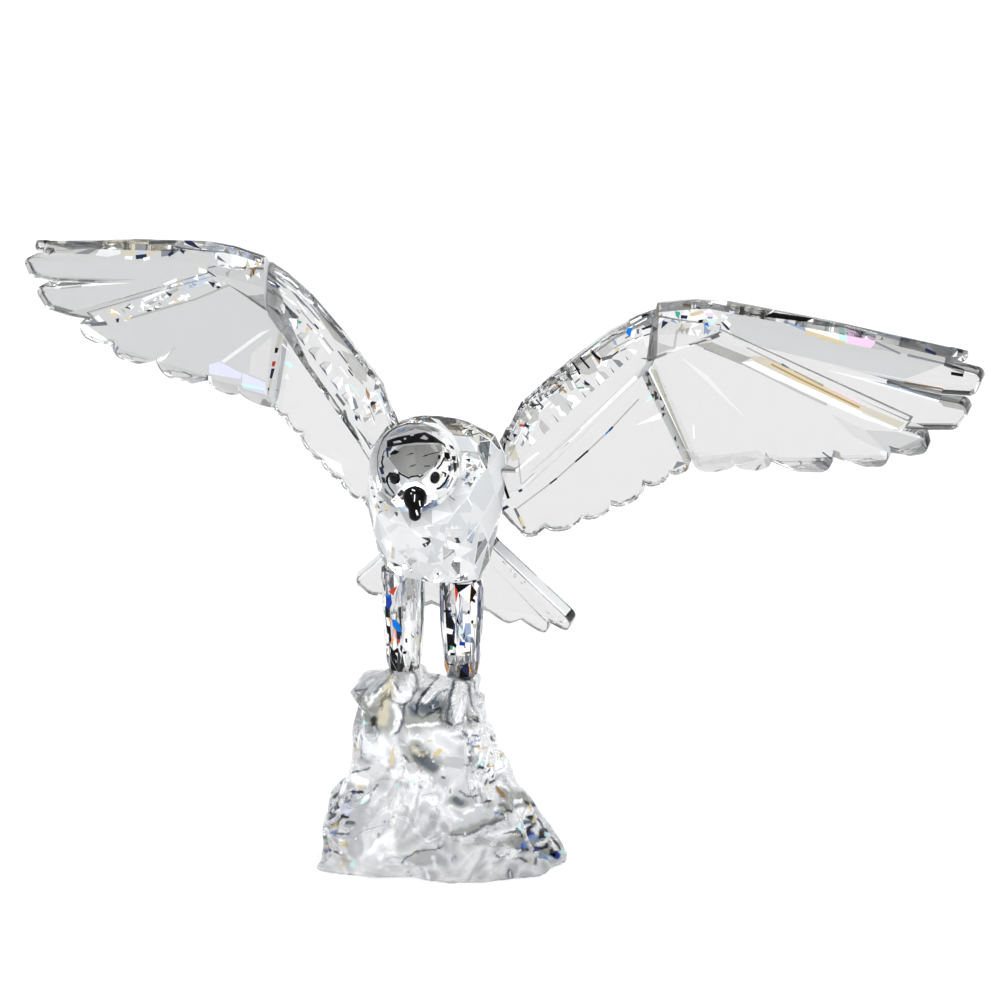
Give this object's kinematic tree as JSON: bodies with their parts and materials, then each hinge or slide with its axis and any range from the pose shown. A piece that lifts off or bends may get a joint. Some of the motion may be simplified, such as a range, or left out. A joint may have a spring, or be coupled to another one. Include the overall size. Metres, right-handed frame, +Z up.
{
  "type": "crystal eagle figurine",
  "caption": "Cut clear crystal eagle with spread wings and fanned tail, black beak and eyes, landing on a hewn crystal rock.",
  "frame": {"origin": "middle of the rock's flat underside", "axes": "+Z up, the eagle faces -Y, and +X is along the wingspan towards the eagle's own left wing"},
  "size_m": [0.308, 0.0636, 0.1803],
  "materials": {
    "crystal": "clear cut crystal, polished facets",
    "rock_crystal": "clear crystal with a rippled, hewn surface",
    "black_glass": "glossy opaque black"
  },
  "bodies": {
    "root": {"body": "crystal", "head": "crystal", "beak": "black_glass", "eye_left": "black_glass", "eye_right": "black_glass", "wing_left_inner": "crystal", "wing_left_outer": "crystal", "wing_right_inner": "crystal", "wing_right_outer": "crystal", "tail": "crystal", "leg_left": "crystal", "leg_right": "crystal", "rock_base": "rock_crystal"}
  },
  "joints": []
}
